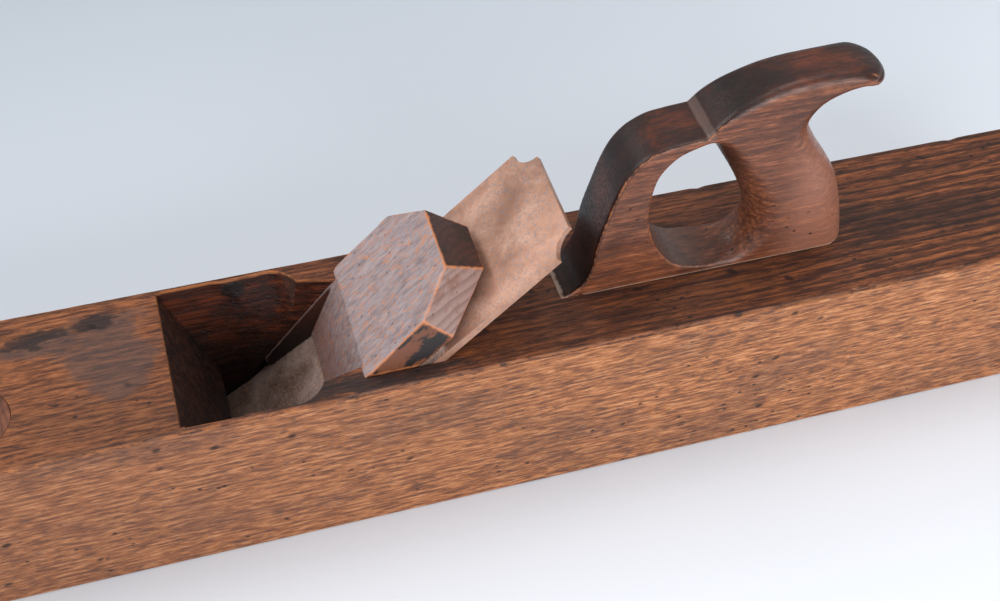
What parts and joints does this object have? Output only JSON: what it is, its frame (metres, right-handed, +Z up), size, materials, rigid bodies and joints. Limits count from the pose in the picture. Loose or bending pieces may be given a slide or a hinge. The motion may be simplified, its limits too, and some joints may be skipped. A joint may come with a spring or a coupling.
{
  "type": "wooden bench plane",
  "caption": "Long beech bench plane with a closed tote, a wedge and a double iron that slide along the bed, and a strike button on the toe.",
  "frame": {"origin": "middle of the sole, on the resting plane", "axes": "+X along the plane from toe to heel, +Y across it, +Z up from the sole"},
  "size_m": [0.66, 0.08, 0.1884],
  "materials": {
    "stock_beech": "aged oiled beech, satin",
    "tote_beech": "beech polished by the hand",
    "button_end_grain": "end grain, satin",
    "wedge_beech": "grey-brown handled beech, matt",
    "iron_patina": "thin brown rust patina, satin",
    "cap_patina": "dark grey patina, satin",
    "screw_steel": "dark patina, satin"
  },
  "bodies": {
    "plane_body": {"stock": "stock_beech", "tote": "tote_beech", "strike_button": "button_end_grain"},
    "iron": {"cutting_iron": "iron_patina"},
    "cap": {"cap_iron": "cap_patina"},
    "screw": {"cap_screw": "screw_steel"},
    "wedge": {"wedge": "wedge_beech"}
  },
  "joints": [
    {"name": "iron_slide", "type": "slide", "parent": "plane_body", "child": "iron", "axis": [0.7193, 0, 0.6947], "range_m": [-0.001, 0.11]},
    {"name": "wedge_slide", "type": "slide", "parent": "iron", "child": "wedge", "axis": [0.729, 0, 0.6845], "range_m": [0, 0.07]},
    {"name": "cap_slide", "type": "slide", "parent": "iron", "child": "cap", "axis": [0.729, 0, 0.6845], "range_m": [0, 0.008]},
    {"name": "screw_turn", "type": "hinge", "parent": "cap", "child": "screw", "pos_m": [-0.05154, 0, 0.06463], "axis": [-0.6845, 0, 0.729], "range_deg": [0, 450]}
  ]
}
